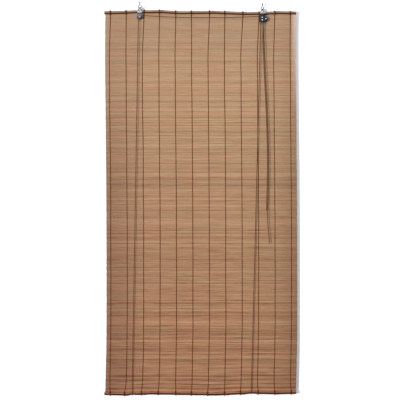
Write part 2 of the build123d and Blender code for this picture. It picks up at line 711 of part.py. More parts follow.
def ear_point(x):
    return (x, ear_hole_y(x), RAIL_Z + hanger_rise(x) + STRIP_THICKNESS / 2)


# Every piece, by name
pieces = {
    "top_rail": cane(TOP_CANE, RAIL_Z),
    "bottom_rail": cane(BOTTOM_CANE, ROD_Z),
    "mat": mat(),
    "bottom_ties": Compound([bottom_tie(x).solid() for x in thread_places()]),
    "left_screw_hook": screw_hook(-HOOK_X),
    "right_screw_hook": screw_hook(HOOK_X),
    "left_hanger": hanger(-HOOK_X, LEFT_X, PULLEY_DROP, AXLE_RADIUS),
    "right_hanger": hanger(HOOK_X, LOCK_X, LOCK_DROP, PIN_RADIUS),
    "left_pulley_case": left_pulley_case(),
    "left_wheel": left_wheel(),
    "left_axle": left_axle(),
    "lock_back_plate": lock_back_plate(),
    "lock_front_plate": lock_front_plate(),
    "lock_upper_roller": lock_roller(UPPER_Z),
    "lock_lower_roller": lock_roller(LOWER_Z),
    "lock_cam": lock_cam(),
    "lock_upper_pin": rivet(
        LOCK_X, UPPER_Z, PIN_RADIUS, LOCK_FRONT_Y, RIGHT_FACE_Y + STRIP_THICKNESS
    ),
    "lock_lower_pin": rivet(LOCK_X, LOWER_Z, PIN_RADIUS, LOCK_FRONT_Y, RIGHT_FACE_Y),
    "lock_cam_pin": rivet(CAM_X, CAM_Z, PIN_RADIUS, LOCK_FRONT_Y, RIGHT_FACE_Y),
    "left_cord_knot": cord_knot(-HOOK_X),
    "right_cord_knot": cord_knot(HOOK_X),
    "left_cord_back": lift_cord("left_cord_back", ear_point(-HOOK_X), LEFT_LOOP_X, 1),
    "left_cord_loop": bottom_loop("left_cord_loop", LEFT_LOOP_X),
    "left_cord_front": lift_cord("left_cord_front", LEFT_CORD_TOP, LEFT_LOOP_X, -1),
    "left_pull_cord": left_pull_cord(),
    "right_cord_back": lift_cord("right_cord_back", ear_point(HOOK_X), RIGHT_LOOP_X, 1),
    "right_cord_loop": bottom_loop("right_cord_loop", RIGHT_LOOP_X),
    "right_cord_front": lift_cord("right_cord_front", RIGHT_CORD_TOP, RIGHT_LOOP_X, -1),
    "right_pull_cord": right_pull_cord(),
}
for number, thread_x in enumerate(thread_places(), 1):
    pieces[f"warp_thread_{number:02d}"] = warp_thread(thread_x)

os.makedirs("parts", exist_ok=True)
for name, piece in pieces.items():
    piece.label = name
    export_step(piece, f"parts/{name}.step")
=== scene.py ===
import random
from math import acos, cos, exp, pi, radians, sin

import bmesh
import bpy
from mathutils import Matrix, Vector


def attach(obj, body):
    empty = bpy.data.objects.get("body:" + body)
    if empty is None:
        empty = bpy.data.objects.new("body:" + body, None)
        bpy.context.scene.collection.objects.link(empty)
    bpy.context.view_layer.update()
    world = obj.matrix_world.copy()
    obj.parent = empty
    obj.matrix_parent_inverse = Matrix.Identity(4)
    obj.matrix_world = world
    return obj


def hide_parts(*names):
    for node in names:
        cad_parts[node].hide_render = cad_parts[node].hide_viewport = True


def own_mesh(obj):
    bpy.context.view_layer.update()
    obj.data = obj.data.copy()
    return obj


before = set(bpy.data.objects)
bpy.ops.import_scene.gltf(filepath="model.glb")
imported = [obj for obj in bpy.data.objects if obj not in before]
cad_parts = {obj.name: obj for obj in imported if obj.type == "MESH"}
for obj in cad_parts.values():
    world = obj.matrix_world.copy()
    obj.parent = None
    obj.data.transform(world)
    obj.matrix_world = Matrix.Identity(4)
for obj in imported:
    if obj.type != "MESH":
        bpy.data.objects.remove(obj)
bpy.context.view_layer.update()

# A roll up blind of stained split bamboo, let down from two screw hooks. Metres; the room is at -Y.

# Camera: straight in front, level with the middle of the blind, far enough back that the
# pulleys and the mat keep one scale.
METRES_PER_PIXEL = 0.00418
PHOTO_PIXELS = 400
VIEW_CENTRE = Vector((-0.0046, 0, -0.8187))
LENS = 100
SENSOR = 36
camera = bpy.data.objects.new("camera", bpy.data.cameras.new("camera"))
camera.data.lens = LENS
camera.data.sensor_width = SENSOR
camera_distance = METRES_PER_PIXEL * PHOTO_PIXELS * LENS / SENSOR
camera.location = VIEW_CENTRE + Vector((0, -camera_distance, 0))
camera.rotation_euler = (pi / 2, 0, 0)
bpy.context.collection.objects.link(camera)
bpy.context.scene.camera = camera


# Top rail: a crooked bamboo cane, stained, with the scars of its knuckles and a cut face at
# each end. It hangs in the two hangers and carries the mat.
RAIL_LENGTH = 0.802
HALF_RAIL = RAIL_LENGTH / 2
RAIL_Z = -0.0375
HOOK_X = 0.25603
THICK_CANE_RADIUS = 0.00595
THIN_CANE_RADIUS = 0.0055
LEVEL_HALF_WIDTH = 0.0145
# How far above the cane's mean line each hanger holds it
HANGER_RISES = {"left": 0.0048, "right": -0.0019}
TOP_CROOKS = [
    (-HALF_RAIL, 0.0006, False),
    (-0.80 * HALF_RAIL, 0.0022, True),
    (-HOOK_X - LEVEL_HALF_WIDTH, HANGER_RISES["left"], False),
    (-HOOK_X + LEVEL_HALF_WIDTH, HANGER_RISES["left"], False),
    (-0.41 * HALF_RAIL, 0.0054, True),
    (-0.23 * HALF_RAIL, 0.0006, False),
    (0.13 * HALF_RAIL, 0.0022, True),
    (0.46 * HALF_RAIL, -0.0028, True),
    (HOOK_X - LEVEL_HALF_WIDTH, HANGER_RISES["right"], False),
    (HOOK_X + LEVEL_HALF_WIDTH, HANGER_RISES["right"], True),
    (0.81 * HALF_RAIL, 0.0011, False),
    (HALF_RAIL, -0.0010, False),
]


def crook_rise(crooks, x):
    """Rise of a cane's middle at x, above its mean line."""
    x = min(max(x, -HALF_RAIL), HALF_RAIL)
    for (x0, rise0, _), (x1, rise1, _) in zip(crooks, crooks[1:]):
        if x <= x1:
            return rise0 + (rise1 - rise0) * (x - x0) / (x1 - x0)
    return crooks[-1][1]


def smooth_rise(crooks, x):
    """The same, with its bends rounded over a centimetre."""
    reach = 0.005
    return sum(crook_rise(crooks, x + step * reach) for step in (-1, -0.5, 0, 0.5, 1)) / 5


# Both canes lie a little to the left, and swell between the places that hold them
RAIL_SLIP = -0.0036
FULLER = 0.0009
HELD_TOP = (-HOOK_X, HOOK_X)


def fullness(x, held):
    """How much fuller a cane is at x than where a hanger or a loop of cord holds it."""
    room = min(abs(x - place) for place in held)
    return FULLER * min(1.0, max(0.0, (room - 0.010) / 0.010))


def adder(tree):
    """A short word that adds a node to a tree, with its settings and its inputs."""

    def add(kind, values={}, **settings):
        node = tree.nodes.new(kind)
        for setting, value in settings.items():
            setattr(node, setting, value)
        for socket, value in values.items():
            if isinstance(value, bpy.types.NodeSocket):
                tree.links.new(value, node.inputs[socket])
            else:
                node.inputs[socket].default_value = value
        return node

    return add


def nodes_of(material_name, roughness, metallic=0.0):
    """A new material, its shader, and two short words to add a node and to join two sockets."""
    material = bpy.data.materials.new(material_name)
    material.use_nodes = True
    tree = material.node_tree
    shader = tree.nodes["Principled BSDF"]
    shader.inputs["Roughness"].default_value = roughness
    shader.inputs["Metallic"].default_value = metallic
    return material, shader, adder(tree), tree.links.new


def colour(red, green, blue):
    """A colour as it is seen, 0 to 255 a channel, in the renderer's linear light."""
    return tuple(((c / 255 + 0.055) / 1.055) ** 2.4 for c in (red, green, blue)) + (1.0,)


def blended(add, factor, first, second, blend_type="MIX"):
    """One colour socket from two colours or colour sockets."""
    mix = add("ShaderNodeMix", data_type="RGBA", blend_type=blend_type)
    for socket, value in ((mix.inputs[0], factor), (mix.inputs[6], first), (mix.inputs[7], second)):
        if isinstance(value, bpy.types.NodeSocket):
            mix.id_data.links.new(value, socket)
        else:
            socket.default_value = value
    return mix.outputs[2]


def stretched_noise(add, stretch, scale, detail=4.0):
    """Noise on Object coordinates, drawn out along the axes with a small stretch."""
    place = add("ShaderNodeTexCoord")
    mapping = add("ShaderNodeMapping", {"Vector": place.outputs["Object"], "Scale": stretch})
    noise = add("ShaderNodeTexNoise", {"Vector": mapping.outputs[0], "Scale": scale, "Detail": detail})
    return noise.outputs[0]


def ramp(add, factor, *stops):
    """A colour ramp with stops of (place, colour)."""
    node = add("ShaderNodeValToRGB", {"Fac": factor})
    elements = node.color_ramp.elements
    for number, (place, shade) in enumerate(stops):
        element = elements[number] if number < 2 else elements.new(place)
        element.position = place
        element.color = shade
    return node.outputs[0]


def attribute(add, name):
    return add("ShaderNodeAttribute", attribute_name=name).outputs["Fac"]


def bumped(add, join, shader, height, distance):
    bump = add("ShaderNodeBump", {"Height": height, "Distance": distance, "Strength": 1.0})
    join(bump.outputs[0], shader.inputs["Normal"])


def cane_material(name, lit, stained, painted_underside_shade):
    """Stained cane: long fibres, blotches, dark scars at the knuckles and painted shade on its underside.
    """
    material, shader, add, join = nodes_of(name, 0.6)
    shader.inputs["Specular IOR Level"].default_value = 0.12
    fibres = stretched_noise(add, (8, 260, 260), 6.0)
    blotches = stretched_noise(add, (22, 60, 60), 1.0, 3.0)
    skin = ramp(add, fibres, (0.3, stained), (0.62, lit))
    blotched = ramp(add, blotches, (0.42, (0, 0, 0, 1)), (0.68, (0.6, 0.6, 0.6, 1)))
    skin = blended(add, blotched, skin, stained)
    # Painted shade: the cane's underside darkens towards the last colour.
    skin = blended(add, attribute(add, "painted_underside_shade"), skin, painted_underside_shade)
    skin = blended(add, attribute(add, "scar"), skin, colour(62, 34, 22))
    skin = blended(add, attribute(add, "cut_end"), skin, colour(196, 160, 118))
    join(skin, shader.inputs["Base Color"])
    bumped(add, join, shader, fibres, 0.0003)
    return material


def piece_from(name, mesh, material, body, finish_slot, *nodes, smooth=True):
    """A finished mesh as a piece: its material, the body that it rides on and the nodes it stands for."""
    piece = bpy.data.objects.new(name, mesh)
    bpy.context.collection.objects.link(piece)
    mesh.materials.clear()
    mesh.materials.append(material)
    if smooth:
        mesh.shade_smooth()
    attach(piece, body)
    if nodes:
        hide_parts(*nodes)
    return piece


def cane_piece(name, crooks, axis_z, left_radius, right_radius, held, away, shade_from, material, body):
    """A cane of round sections along its crooked line, with a collar and a groove at each knuckle."""
    around = 28
    knuckles = [x for x, _, knuckle in crooks if knuckle]
    left_end = RAIL_SLIP - HALF_RAIL
    right_end = RAIL_SLIP + HALF_RAIL
    places = {left_end, left_end + 0.0004, right_end - 0.0004, right_end}
    places.update(left_end + 0.0008 + step * (RAIL_LENGTH - 0.0016) / 130 for step in range(131))
    beside_knuckle = (-4, -3, -2.2, -1.5, -0.8, 0, 0.8, 1.6, 2.6, 4)
    places.update(x + 0.001 * step for x in knuckles for step in beside_knuckle)
    wander = random.Random(len(crooks))
    phases = [wander.uniform(0, 2 * pi) for _ in range(3)]
    mesh = bmesh.new()
    tints = {key: mesh.verts.layers.float.new(key) for key in ("painted_underside_shade", "scar", "cut_end")}
    rings = []
    for x in sorted(places):
        share = (x + HALF_RAIL) / RAIL_LENGTH
        fuller = fullness(x, held)
        radius = left_radius + (right_radius - left_radius) * share + fuller
        radius += 0.00012 * sin(34 * x + phases[0]) + 0.00008 * sin(81 * x + phases[1])
        from_end = HALF_RAIL - abs(x - RAIL_SLIP)
        radius -= 0.0008 * max(0, 1 - from_end / 0.0008) ** 2
        scar = 0.0
        for knuckle in knuckles:
            off = x - knuckle
            collar = 0.00055 * exp(-((off / 0.0014) ** 2))
            radius += collar - 0.0003 * exp(-(((off - 0.0026) / 0.0007) ** 2))
            scar = max(scar, exp(-(((off - 0.0022) / 0.0011) ** 2)))
        ring = []
        middle = Vector((x, 0, axis_z + smooth_rise(crooks, x) + away * fuller))
        for step in range(around):
            angle = 2 * pi * step / around
            oval = radius * (1 + 0.012 * sin(2 * angle + phases[2]))
            vertex = mesh.verts.new(middle + Vector((0, oval * cos(angle), oval * sin(angle))))
            # Painted shade on the underside, below the height shade_from on the cane's round.
            vertex[tints["painted_underside_shade"]] = min(1.0, max(0.0, 2.2 * (shade_from - sin(angle))))
            vertex[tints["scar"]] = 0.8 * scar
            ring.append(vertex)
        rings.append(ring)
    for ring, following in zip(rings, rings[1:]):
        for step in range(around):
            after = (step + 1) % around
            mesh.faces.new((ring[step], ring[after], following[after], following[step]))
    for ring, outward in ((rings[0], -1), (rings[-1], 1)):
        end = sum((vertex.co for vertex in ring), Vector()) / around
        for depth, share in ((0, 0.9), (0.0001, 0.35), (0.0012, 0.25)):
            inner = []
            for vertex in ring:
                place = end + share * (vertex.co - end) / (0.9 if depth else 1)
                inner.append(mesh.verts.new(place - Vector((outward * depth, 0, 0))))
                inner[-1][tints["cut_end"]] = 0.9
            for step in range(around):
                after = (step + 1) % around
                mesh.faces.new((ring[step], inner[step], inner[after], ring[after]))
            ring = inner
            end = sum((vertex.co for vertex in ring), Vector()) / around
        mesh.faces.new(ring)
    bmesh.ops.recalc_face_normals(mesh, faces=mesh.faces)
    data = bpy.data.meshes.new(name)
    mesh.to_mesh(data)
    mesh.free()
    return piece_from(f"{name}_cane", data, material, body, "cane", name)


# The last colour is the painted shade of the top cane's underside.
top_cane_material = cane_material(
    "stained_top_cane", colour(158, 127, 104), colour(112, 78, 56), colour(60, 30, 12)
)
cane_piece(
    "top_rail",
    TOP_CROOKS,
    RAIL_Z,
    THICK_CANE_RADIUS,
    THIN_CANE_RADIUS,
    HELD_TOP,
    1,
    0.08,
    top_cane_material,
    "frame",
)


# Bottom rail: a second, redder cane, which hangs in the lift cords' loops and in the ties of
# the warp threads, and stretches the mat.
BLIND_HEIGHT = 1.6
ROD_Z = RAIL_Z - (BLIND_HEIGHT - THICK_CANE_RADIUS - THIN_CANE_RADIUS)
LOOP_X = {"left": -HOOK_X - 0.0316, "right": HOOK_X - 0.0462}
HELD_BOTTOM = (LOOP_X["left"], LOOP_X["right"])
BOTTOM_CROOKS = [
    (-HALF_RAIL, -0.0010, False),
    (-0.79 * HALF_RAIL, -0.0036, True),
    (-0.67 * HALF_RAIL, -0.0008, False),
    (-0.53 * HALF_RAIL, 0.0012, False),
    (-0.30 * HALF_RAIL, 0.0002, True),
    (0.16 * HALF_RAIL, -0.0030, True),
    (0.33 * HALF_RAIL, 0.0006, False),
    (0.56 * HALF_RAIL, 0.0042, True),
    (0.79 * HALF_RAIL, 0.0024, True),
    (HALF_RAIL, 0.0046, False),
]
# The last colour is the painted shade of the bottom cane's underside.
bottom_cane_material = cane_material(
    "stained_bottom_cane", colour(150, 106, 82), colour(116, 74, 50), colour(34, 14, 9)
)
cane_piece(
    "bottom_rail",
    BOTTOM_CROOKS,
    ROD_Z,
    THIN_CANE_RADIUS,
    THICK_CANE_RADIUS,
    HELD_BOTTOM,
    -1,
    0.50,
    bottom_cane_material,
    "bottom_rail",
)


# Mat: some six hundred splints of bamboo, split by hand and stained, each a little different in
# width, tint and line. They lie across the whole width, one below the other, with light between some.
MAT_WIDTH = 0.797
SPLINT_HEIGHT = 0.0026
SPLINT_DEPTH = 0.0016
SPLINT_BENDS = 26
SPLINT_ROWS = 612
MAT_TOP = RAIL_Z - THICK_CANE_RADIUS - SPLINT_HEIGHT / 2
MAT_BOTTOM = ROD_Z + THICK_CANE_RADIUS + SPLINT_HEIGHT / 2
EDGE_HOLD = 14.0
SPLINT_PITCH = (MAT_TOP - MAT_BOTTOM) / (SPLINT_ROWS - 1)
# Where the mat hangs out of plumb: share of the way down, and metres to the right
SWAY = [
    (0.0, -0.0046),
    (0.1, -0.0060),
    (0.2, -0.0048),
    (0.4, -0.0018),
    (0.5, -0.0007),
    (0.7, 0.0001),
    (0.83, 0.0),
    (0.92, -0.0022),
    (1.0, -0.0052),
]


def geometry_tree(name, sizes):
    """An empty geometry tree with named inputs, and two words to add a node and to finish it."""
    tree = bpy.data.node_groups.new(name, "GeometryNodeTree")
    tree.interface.new_socket("Geometry", in_out="INPUT", socket_type="NodeSocketGeometry")
    for label, kind in sizes.items():
        tree.interface.new_socket(label, in_out="INPUT", socket_type=f"NodeSocket{kind}")
    tree.interface.new_socket("Geometry", in_out="OUTPUT", socket_type="NodeSocketGeometry")
    entry = tree.nodes.new("NodeGroupInput")
    add = adder(tree)

    def finish(geometry):
        real = add("GeometryNodeRealizeInstances", {"Geometry": geometry})
        chosen = entry.outputs["Material"]
        painted = add("GeometryNodeSetMaterial", {"Geometry": real.outputs[0], "Material": chosen})
        leave = tree.nodes.new("NodeGroupOutput")
        tree.links.new(painted.outputs[0], leave.inputs[0])
        return tree

    return entry, add, finish


def stored(add, geometry, name, value):
    """The same geometry, with a value kept on its points."""
    kept = {"Geometry": geometry, "Name": name, "Value": value}
    return add("GeometryNodeStoreNamedAttribute", kept).outputs[0]


def maths(add, operation, first, second=0.0, third=0.0):
    return add("ShaderNodeMath", {0: first, 1: second, 2: third}, operation=operation).outputs[0]


def chance(add, low, high, seed, number):
    """A fixed random number for each splint."""
    node = add("FunctionNodeRandomValue", {2: low, 3: high, "ID": number, "Seed": seed}, data_type="FLOAT")
    return node.outputs[1]


def drawn_line(add, places, factor, handle):
    """A line through (share, metres), which the node holds in centimetres above a half."""
    curve = add("ShaderNodeFloatCurve", {"Value": factor})
    mapping = curve.mapping
    mapping.use_clip = False
    points = mapping.curves[0].points
    for number, (share, metres) in enumerate(places):
        place = (share, 0.5 + 100 * metres)
        if number < 2:
            points[number].location = place
        else:
            points.new(*place)
    for point in points:
        point.handle_type = handle
    mapping.update()
    return maths(add, "MULTIPLY_ADD", curve.outputs[0], 0.01, -0.005)


def edge_along(crooks, left_radius, right_radius, side):
    """Where the mat's edge runs beside a cane, against the mat's own straight edge."""
    places = []
    for x, rise, _ in crooks:
        share = (x + HALF_RAIL) / RAIL_LENGTH
        radius = left_radius + (right_radius - left_radius) * share
        places.append((share, rise + side * (radius - THICK_CANE_RADIUS)))
    return places


def splint_tree():
    """Rows of flat sticks. The first and last rows follow the canes, the rest are nearly straight."""
    sizes = {"Rows": "Int", "Pitch": "Float", "Width": "Float", "Height": "Float", "Depth": "Float"}
    sizes.update({"Bends": "Int", "Top": "Float", "Material": "Material"})
    entry, add, finish = geometry_tree("splints", sizes)
    size = entry.outputs
    drop = add("ShaderNodeCombineXYZ", {"Z": maths(add, "MULTIPLY", size["Pitch"], -1.0)}).outputs[0]
    start = add("ShaderNodeCombineXYZ", {"Z": size["Top"]}).outputs[0]
    column = add("GeometryNodeMeshLine", {"Count": size["Rows"], "Start Location": start, "Offset": drop})
    index = add("GeometryNodeInputIndex").outputs[0]
    numbered = stored(add, column.outputs[0], "row", index)
    half = maths(add, "MULTIPLY", size["Width"], 0.5)
    left = add("ShaderNodeCombineXYZ", {"X": maths(add, "MULTIPLY", half, -1.0)}).outputs[0]
    right = add("ShaderNodeCombineXYZ", {"X": half}).outputs[0]
    stick = add("GeometryNodeCurvePrimitiveLine", {"Start": left, "End": right}).outputs[0]
    stick = add("GeometryNodeResampleCurve", {"Curve": stick, "Count": size["Bends"]}).outputs[0]
    rows = add("GeometryNodeInstanceOnPoints", {"Points": numbered, "Instance": stick}).outputs[0]
    rows = add("GeometryNodeRealizeInstances", {"Geometry": rows}).outputs[0]
    row = add("GeometryNodeInputNamedAttribute", {"Name": "row"}, data_type="FLOAT").outputs[0]
    along = add("GeometryNodeSplineParameter").outputs["Factor"]
    place = add("ShaderNodeSeparateXYZ", {0: add("GeometryNodeInputPosition").outputs[0]}).outputs
    share = maths(add, "DIVIDE", row, maths(add, "SUBTRACT", size["Rows"], 1.0))
    near_top = maths(add, "POWER", maths(add, "SUBTRACT", 1.0, share), EDGE_HOLD)
    near_bottom = maths(add, "POWER", share, EDGE_HOLD)
    top_edge = edge_along(TOP_CROOKS, THICK_CANE_RADIUS, THIN_CANE_RADIUS, -1)
    bottom_edge = edge_along(BOTTOM_CROOKS, THIN_CANE_RADIUS, THICK_CANE_RADIUS, 1)
    top_rise = maths(add, "MULTIPLY", drawn_line(add, top_edge, along, "VECTOR"), near_top)
    bottom_rise = maths(add, "MULTIPLY", drawn_line(add, bottom_edge, along, "VECTOR"), near_bottom)
    stretched = maths(add, "MULTIPLY", place["X"], 5.0)
    wander_place = add("ShaderNodeCombineXYZ", {"X": stretched, "Y": row}).outputs[0]
    wander = add("ShaderNodeTexNoise", {"Vector": wander_place, "Scale": 0.9, "Detail": 2.0}).outputs[0]
    stretched = maths(add, "MULTIPLY", place["X"], 3.0)
    bow_place = add("ShaderNodeCombineXYZ", {"X": stretched, "Y": place["Z"]}).outputs[0]
    bow = add("ShaderNodeTexNoise", {"Vector": bow_place, "Scale": 4.0, "Detail": 1.0}).outputs[0]
    lift = maths(add, "ADD", top_rise, bottom_rise)
    free = maths(add, "SUBTRACT", 1.0, maths(add, "ADD", near_top, near_bottom))
    loose = maths(add, "MULTIPLY_ADD", wander, 0.0011, -0.00055)
    loose = maths(add, "ADD", loose, maths(add, "MULTIPLY_ADD", bow, 0.003, -0.0015))
    lift = maths(add, "ADD", lift, maths(add, "MULTIPLY", loose, free))
    shift = maths(add, "ADD", chance(add, 0.0023, 0.0037, 3, row), drawn_line(add, SWAY, share, "AUTO"))
    depth = chance(add, -0.00025, 0.00025, 5, row)
    move = add("ShaderNodeCombineXYZ", {"X": shift, "Y": depth, "Z": lift}).outputs[0]
    rows = add("GeometryNodeSetPosition", {"Geometry": rows, "Offset": move}).outputs[0]
    rows = add("GeometryNodeSetCurveNormal", {"Curve": rows}, mode="Z_UP").outputs[0]
    for name, seed in (("tone", 11), ("tint", 12)):
        value = chance(add, 0.0, 1.0, seed, row)
        rows = stored(add, rows, name, value)
    outline = add("GeometryNodeCurvePrimitiveCircle", {"Resolution": 6, "Radius": 0.5}).outputs[0]
    flat = add("ShaderNodeCombineXYZ", {"X": size["Depth"], "Y": size["Height"], "Z": 1.0}).outputs[0]
    outline = add("GeometryNodeTransform", {"Geometry": outline, "Rotation": (0, 0, pi / 6)}).outputs[0]
    outline = add("GeometryNodeTransform", {"Geometry": outline, "Scale": flat}).outputs[0]
    thickness = chance(add, 0.94, 1.20, 7, row)
    rows = add(
        "GeometryNodeCurveToMesh",
        {"Curve": rows, "Profile Curve": outline, "Scale": thickness, "Fill Caps": True},
    ).outputs[0]
    return finish(rows)


def grown(name, base, tree, inputs):
    """What a tree makes of a base, as a plain mesh with no modifier left."""
    grower = bpy.data.objects.new(name, base)
    bpy.context.collection.objects.link(grower)
    modifier = grower.modifiers.new("tree", "NODES")
    modifier.node_group = tree
    for item in tree.interface.items_tree:
        if item.in_out == "INPUT" and item.name in inputs:
            modifier[item.identifier] = inputs[item.name]
    seen = grower.evaluated_get(bpy.context.evaluated_depsgraph_get())
    mesh = bpy.data.meshes.new_from_object(seen)
    mesh.name = name
    bpy.data.objects.remove(grower)
    return mesh


def splint_material():
    """Split bamboo under a thin stain, darker and redder towards the bottom of the blind, with painted
    shade towards its side edges and a painted light band on its lowest splints.
    """
    material, shader, add, join = nodes_of("stained_splints", 0.55)
    tone = attribute(add, "tone")
    tint = attribute(add, "tint")
    fibres = stretched_noise(add, (14, 1, 900), 1.0, 5.0)
    place = add("ShaderNodeSeparateXYZ", {0: add("ShaderNodeTexCoord").outputs["Object"]}).outputs
    own_place = add(
        "ShaderNodeCombineXYZ",
        {"X": maths(add, "MULTIPLY", place["X"], 10.0), "Y": maths(add, "MULTIPLY", tone, 900.0)},
    ).outputs[0]
    streaks = add("ShaderNodeTexNoise", {"Vector": own_place, "Scale": 1.0, "Detail": 3.0}).outputs[0]
    clouds = stretched_noise(add, (8, 1, 36), 1.0, 2.0)
    light = maths(add, "ADD", maths(add, "MULTIPLY", tone, 0.34), maths(add, "MULTIPLY", fibres, 0.34))
    light = maths(add, "ADD", light, maths(add, "MULTIPLY_ADD", streaks, 0.76, -0.21))
    fall = add(
        "ShaderNodeMapRange", {"Value": place["Z"], "From Min": MAT_TOP, "From Max": MAT_BOTTOM}
    ).outputs[0]
    contrast = maths(add, "MULTIPLY_ADD", fall, 0.95, 0.55)
    light = maths(add, "MULTIPLY_ADD", maths(add, "SUBTRACT", light, 0.52), contrast, 0.52)
    wood = ramp(
        add,
        light,
        (0.10, colour(120, 70, 40)),
        (0.34, colour(158, 118, 84)),
        (0.64, colour(182, 144, 110)),
        (0.95, colour(204, 170, 138)),
    )
    tints = (0.0, (1.05, 0.93, 0.88, 1)), (0.5, (1, 1, 1, 1)), (1.0, (1.0, 1.03, 0.90, 1))
    reddish = ramp(add, tint, *tints)
    wood = blended(add, 0.8, wood, reddish, "MULTIPLY")
    patch = ramp(add, clouds, (0.36, (1.045, 0.94, 0.915, 1)), (0.64, (0.98, 1.025, 0.955, 1)))
    wood = blended(add, 0.8, wood, patch, "MULTIPLY")
    # Darker and redder towards the bottom; the last stops paint a light band on the lowest splints,
    # painted light.
    downward_tint_and_foot_light = ramp(
        add,
        fall,
        (0.0, (0.716, 0.793, 0.870, 1)),
        (0.20, (0.794, 0.842, 0.865, 1)),
        (0.35, (0.766, 0.790, 0.797, 1)),
        (0.52, (0.726, 0.718, 0.690, 1)),
        (0.70, (0.685, 0.636, 0.595, 1)),
        (0.84, (0.700, 0.628, 0.572, 1)),
        (0.990, (0.624, 0.510, 0.445, 1)),
        (0.9935, (0.76, 0.63, 0.55, 1)),
        (1.0, (0.76, 0.63, 0.55, 1)),
    )
    # Painted shade towards both side edges of the mat, weaker near its top.
    across = add(
        "ShaderNodeMapRange", {"Value": place["X"], "From Min": -MAT_WIDTH / 2, "From Max": MAT_WIDTH / 2}
    ).outputs[0]
    edges = ramp(
        add,
        across,
        (0.0, (0.65, 0.59, 0.57, 1)),
        (0.08, (0.74, 0.69, 0.68, 1)),
        (0.20, (0.92, 0.91, 0.93, 1)),
        (0.45, (0.96, 0.95, 0.95, 1)),
        (0.72, (0.98, 1.0, 1.03, 1)),
        (0.90, (0.93, 0.965, 0.99, 1)),
        (1.0, (0.70, 0.67, 0.65, 1)),
    )
    edge_shade_weight = ramp(add, fall, (0.0, (0.4, 0.4, 0.4, 1)), (0.45, (1, 1, 1, 1)))
    wood = blended(add, edge_shade_weight, wood, edges, "MULTIPLY")
    ends = ramp(
        add,
        across,
        (0.0, (0.10, 0.10, 0.10, 1)),
        (0.035, (0, 0, 0, 1)),
        (0.972, (0, 0, 0, 1)),
        (0.982, (0.5, 0.5, 0.5, 1)),
        (1.0, (0.9, 0.9, 0.9, 1)),
    )
    high_up = ramp(add, fall, (0.0, (0.8, 0.8, 0.8, 1)), (0.07, (0.6, 0.6, 0.6, 1)), (0.26, (0, 0, 0, 1)))
    bare = blended(add, 1.0, ends, high_up, "MULTIPLY")
    wood = blended(add, bare, wood, colour(238, 204, 188))
    wood = blended(add, 1.0, wood, downward_tint_and_foot_light, "MULTIPLY")
    join(wood, shader.inputs["Base Color"])
    bumped(add, join, shader, fibres, 0.0002)
    return material


seed_mesh = bpy.data.meshes.new("seed")
splint_sizes = {
    "Rows": SPLINT_ROWS,
    "Pitch": SPLINT_PITCH,
    "Width": MAT_WIDTH,
    "Height": SPLINT_HEIGHT,
    "Depth": SPLINT_DEPTH,
    "Bends": SPLINT_BENDS,
    "Top": MAT_TOP,
    "Material": splint_material(),
}
splints = grown("split_bamboo_mat", seed_mesh, splint_tree(), splint_sizes)
mat_piece = piece_from(
    "split_bamboo_mat", splints, splint_sizes["Material"], "frame", "splints", "mat", smooth=False
)


def shortens(piece):
    """Gives a run between the rails a mesh of its own."""
    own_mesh(piece)


shortens(mat_piece)


# Warp threads: twelve dark threads, each wound over the top cane and run down both faces of the
# mat to bind the splints. They wander a little on their way down.
THREAD_INSET = 0.021
THREAD_COUNT = 12
THREAD_RADIUS = 0.00145
THREAD_TWIST = 0.006
THREAD_PITCH = (MAT_WIDTH - 2 * THREAD_INSET) / (THREAD_COUNT - 1)
THREAD_Y = 0.0016
WOUND_LOOSE = 1.08


def laid_tree():
    """A thread or cord of three strands, swept along a curve with a steady twist."""
    sizes = {"Radius": "Float", "Twist": "Float", "Step": "Float", "Lobe": "Float", "Sides": "Int"}
    sizes["Material"] = "Material"
    entry, add, finish = geometry_tree("laid_strands", sizes)
    size = entry.outputs
    route = {"Curve": size["Geometry"], "Length": size["Step"]}
    line = add("GeometryNodeResampleCurve", route, mode="LENGTH").outputs[0]
    length = add("GeometryNodeSplineParameter").outputs["Length"]
    turn = maths(add, "MULTIPLY", maths(add, "DIVIDE", length, size["Twist"]), 2 * pi)
    line = add("GeometryNodeSetCurveTilt", {"Curve": line, "Tilt": turn}).outputs[0]
    line = stored(add, line, "along", length)
    circle = {"Resolution": size["Sides"], "Radius": 1.0}
    outline = add("GeometryNodeCurvePrimitiveCircle", circle).outputs[0]
    around = maths(add, "MULTIPLY", add("GeometryNodeSplineParameter").outputs["Factor"], 2 * pi)
    lobes = maths(add, "MULTIPLY", maths(add, "COSINE", maths(add, "MULTIPLY", around, 3.0)), size["Lobe"])
    reach = maths(add, "ADD", lobes, 1.0)
    place = add("GeometryNodeInputPosition").outputs[0]
    lobed = add("ShaderNodeVectorMath", {0: place, "Scale": reach}, operation="SCALE").outputs[0]
    outline = add("GeometryNodeSetPosition", {"Geometry": outline, "Position": lobed}).outputs[0]
    outline = stored(add, outline, "strand", lobes)
    swept = add(
        "GeometryNodeCurveToMesh",
        {"Curve": line, "Profile Curve": outline, "Scale": size["Radius"], "Fill Caps": True},
    ).outputs[0]
    return finish(swept)


